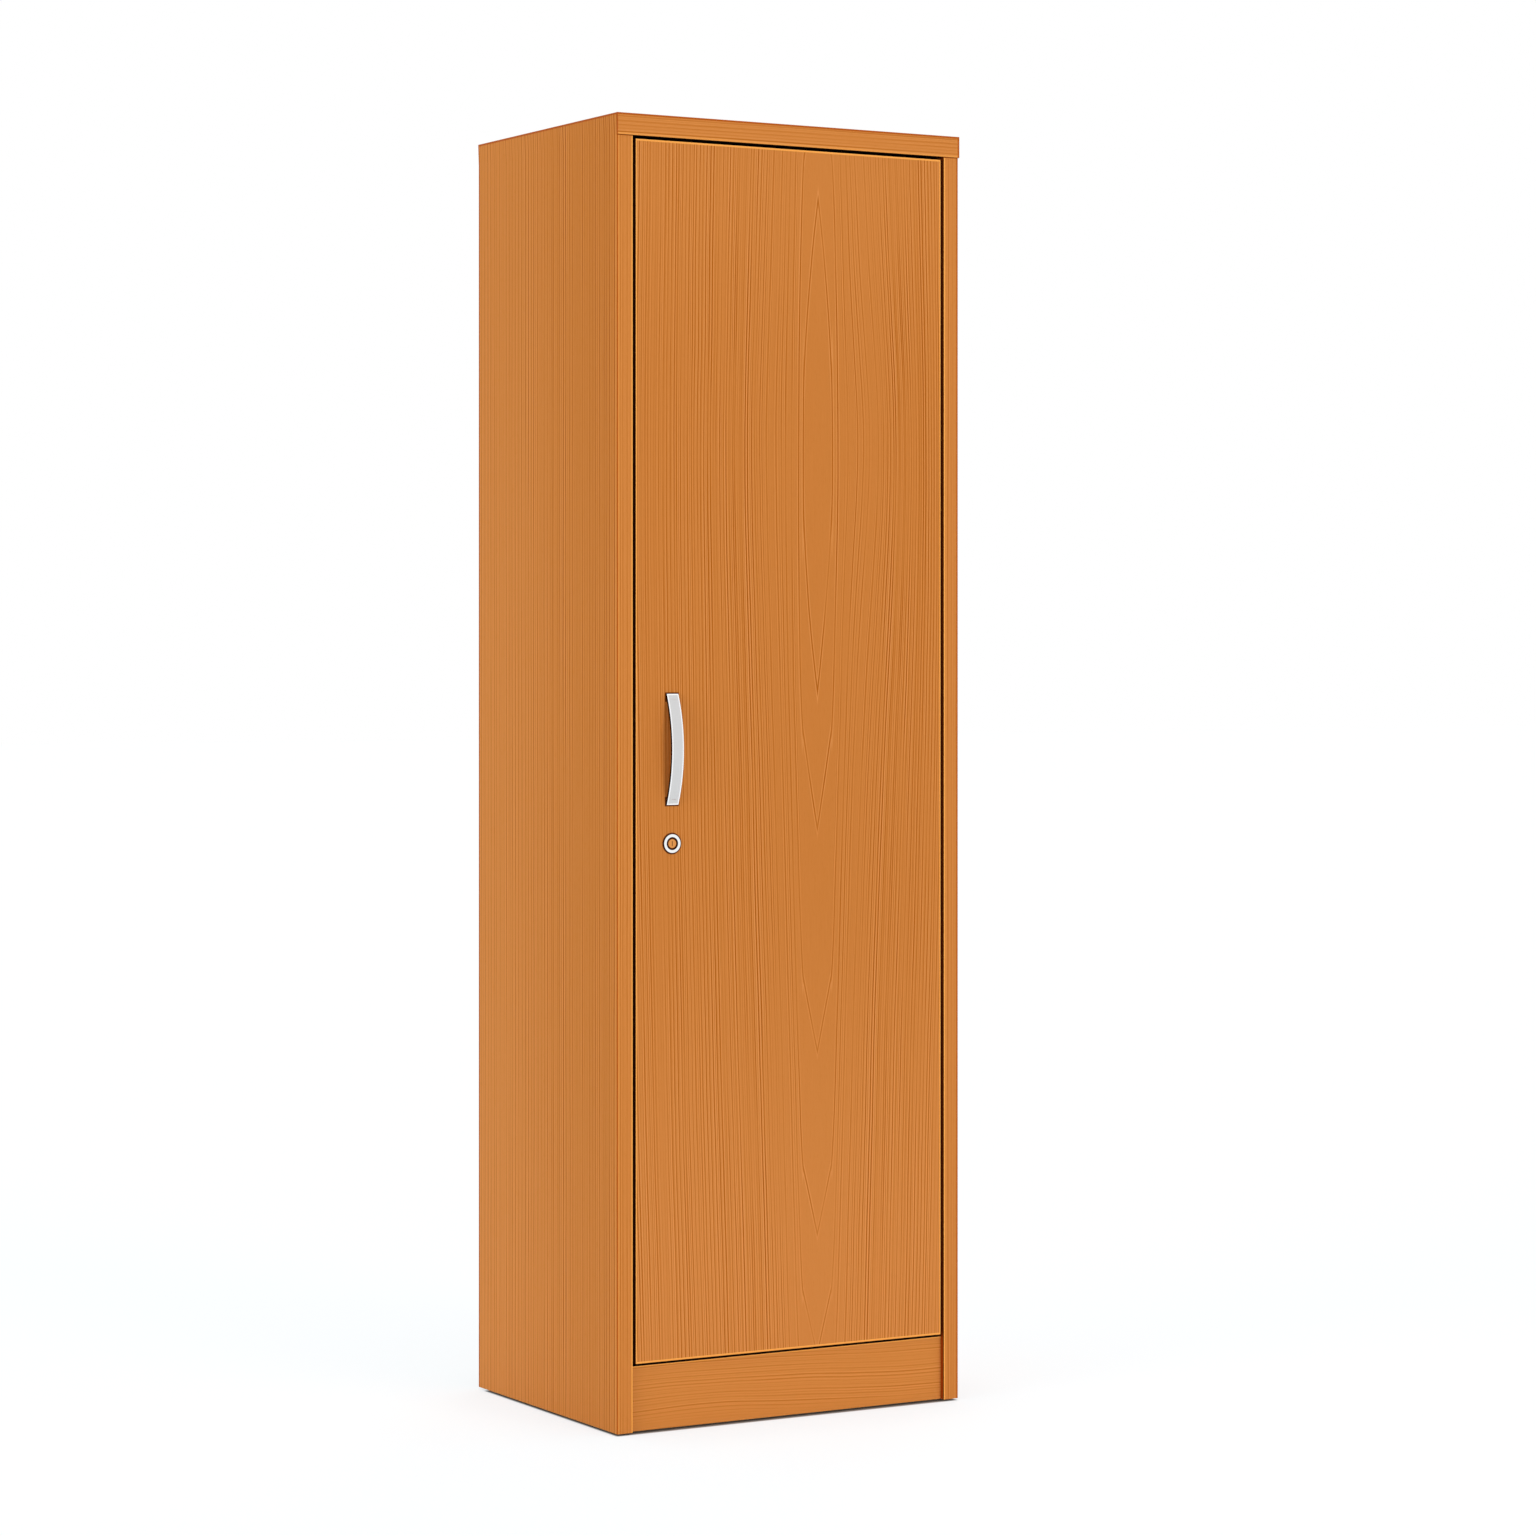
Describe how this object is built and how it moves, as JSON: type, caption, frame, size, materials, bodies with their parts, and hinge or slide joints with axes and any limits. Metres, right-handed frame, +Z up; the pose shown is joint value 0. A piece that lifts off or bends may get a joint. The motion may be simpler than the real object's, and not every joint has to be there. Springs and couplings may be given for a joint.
{
  "type": "locker",
  "caption": "Tall free-standing locker in beech-look board: inset hinged door with bow handle and cam lock, hat shelf, coat rail and loose lower shelf inside.",
  "frame": {"origin": "on the floor, under the centre of the locker's box, handle included", "axes": "+X to the right as seen by the user, the door faces -Y, +Z up"},
  "size_m": [0.552, 0.442, 1.8],
  "materials": {
    "beech_board": "wood-grain melamine, satin",
    "edge_band": "wood-grain edge band, satin",
    "back_board": "thin fibreboard, printed front, plain rear",
    "dowel_wood": "fluted beech, raw",
    "glide_plastic": "matt",
    "satin_handle": "satin",
    "lock_nickel": "bright nickel",
    "lock_brass": "satin",
    "rail_chrome": "bright",
    "bracket_zinc": "cast zinc, satin",
    "hinge_steel": "nickel-plated",
    "zinc_fastener": "zinc-plated"
  },
  "bodies": {
    "carcass": {"left_side_panel": "beech_board", "left_side_edge_band": "edge_band", "right_side_panel": "beech_board", "right_side_edge_band": "edge_band", "top_panel": "beech_board", "top_left_end_band": "edge_band", "top_right_end_band": "edge_band", "top_front_edge_band": "edge_band", "bottom_panel": "beech_board", "plinth_board": "beech_board", "rear_plinth_rail": "beech_board", "hat_shelf": "beech_board", "hat_shelf_edge_band": "edge_band", "back_panel": "back_board", "back_panel_screws": "zinc_fastener", "shoe_shelf": "beech_board", "shoe_shelf_edge_band": "edge_band", "shelf_pins": "hinge_steel", "cam_bolts": "zinc_fastener", "cam_housings": "zinc_fastener", "dowels": "dowel_wood", "floor_glides": "glide_plastic", "rail_brackets": "bracket_zinc", "rail_bracket_screws": "zinc_fastener", "coat_rail": "rail_chrome", "upper_hinge_arm": "hinge_steel", "upper_hinge_plate": "hinge_steel", "hinge_plate_screws": "zinc_fastener", "hinge_arm_screws": "zinc_fastener", "middle_hinge_arm": "hinge_steel", "middle_hinge_plate": "hinge_steel", "lower_hinge_arm": "hinge_steel", "lower_hinge_plate": "hinge_steel", "lock_strike": "hinge_steel", "strike_screws": "zinc_fastener"},
    "door": {"door_panel": "beech_board", "door_left_edge_band": "edge_band", "door_right_edge_band": "edge_band", "door_bottom_edge_band": "edge_band", "door_top_edge_band": "edge_band", "upper_hinge_cup": "hinge_steel", "hinge_pins": "hinge_steel", "hinge_cup_screws": "zinc_fastener", "middle_hinge_cup": "hinge_steel", "lower_hinge_cup": "hinge_steel", "handle_screws": "zinc_fastener", "bow_handle": "satin_handle", "lock_housing": "lock_nickel", "lock_nut": "lock_nickel"},
    "lock_cylinder": {"lock_plug": "lock_brass", "lock_cam": "lock_nickel", "lock_cam_screw": "zinc_fastener"}
  },
  "joints": [
    {"name": "door_hinge", "type": "hinge", "parent": "carcass", "child": "door", "pos_m": [0.2345, -0.1938, 0.931], "axis": [0, 0, 1], "range_deg": [0, 95]},
    {"name": "lock_turn", "type": "hinge", "parent": "door", "child": "lock_cylinder", "pos_m": [-0.19, -0.203, 0.804], "axis": [0, 1, 0], "range_deg": [0, 90]}
  ]
}
